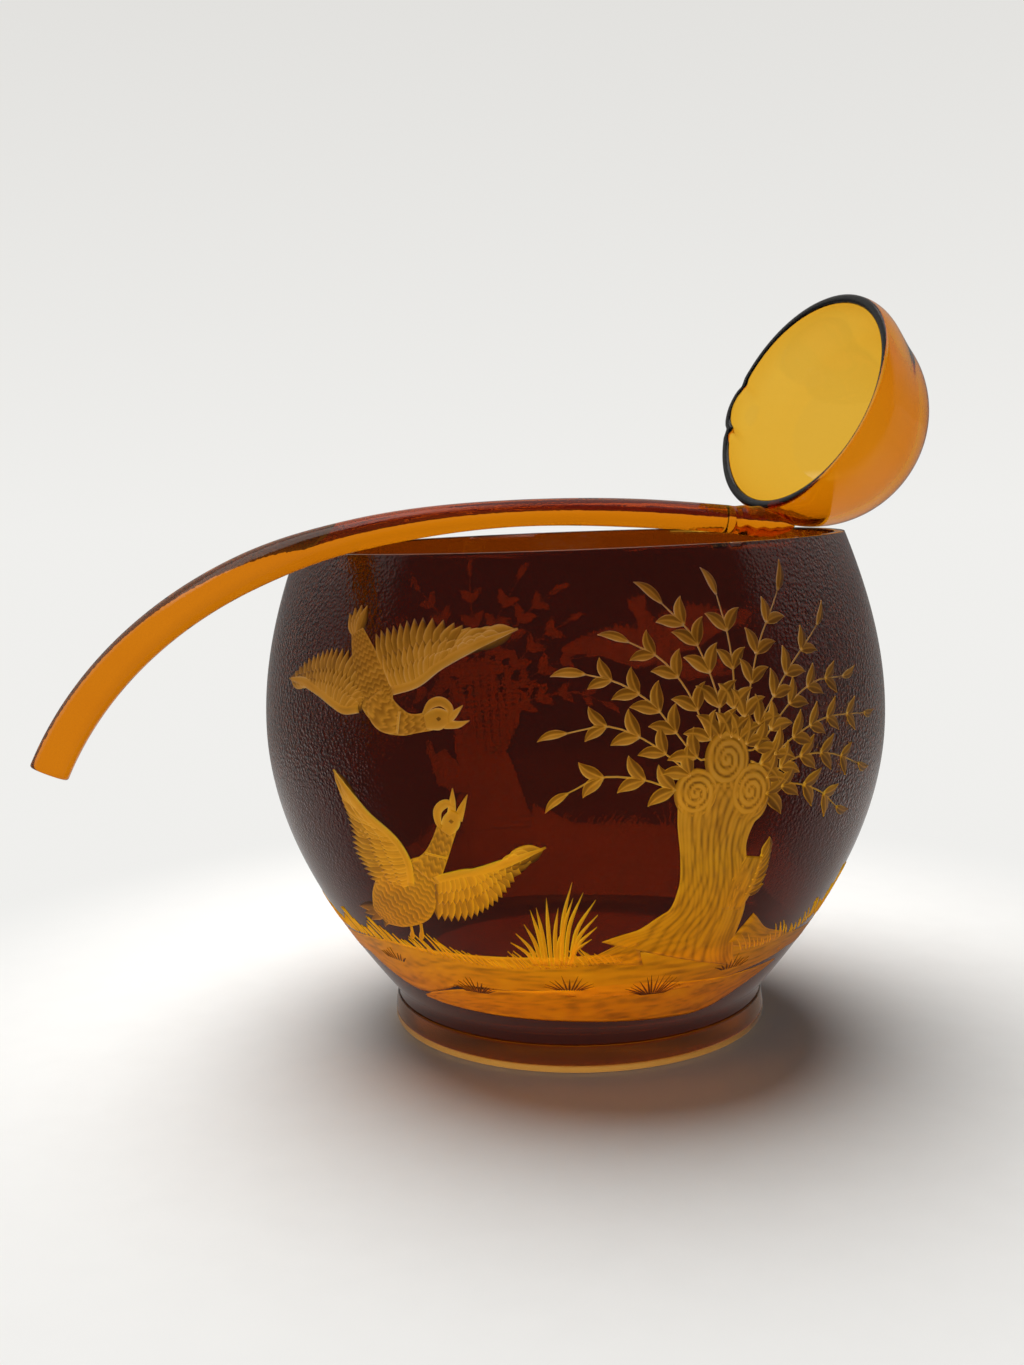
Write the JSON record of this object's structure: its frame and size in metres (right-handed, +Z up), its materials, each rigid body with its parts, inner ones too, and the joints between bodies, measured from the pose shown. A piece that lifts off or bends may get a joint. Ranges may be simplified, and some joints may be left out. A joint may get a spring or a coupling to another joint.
{
  "type": "punch bowl with ladle",
  "caption": "Round amber glass punch bowl under an engraved dark ruby layer, on a low foot, with an all-glass ladle resting across its rim.",
  "frame": {"origin": "centre of the foot's flat underside", "axes": "+Z up through the bowl's axis, +X towards the side where the ladle's cup lies, -Y towards the viewer's side with the engraved willow and ducks"},
  "size_m": [0.3283, 0.2611, 0.2932],
  "materials": {
    "amber_glass": "clear polished, with matt engraved areas",
    "ruby_glass": "glossy, deep brown-ruby, cut through by the engraving",
    "ladle_glass": "fire-polished"
  },
  "bodies": {
    "bowl": {"bowl_body": "amber_glass", "wall_overlay": "ruby_glass", "foot": "amber_glass", "foot_overlay": "ruby_glass"},
    "ladle": {"ladle_cup": "ladle_glass", "ladle_collar": "ladle_glass", "ladle_handle": "ladle_glass"}
  },
  "joints": [
    {"name": "ladle_lift", "type": "slide", "parent": "bowl", "child": "ladle", "axis": [0, 0, 1], "range_m": [0, 0.12]}
  ]
}
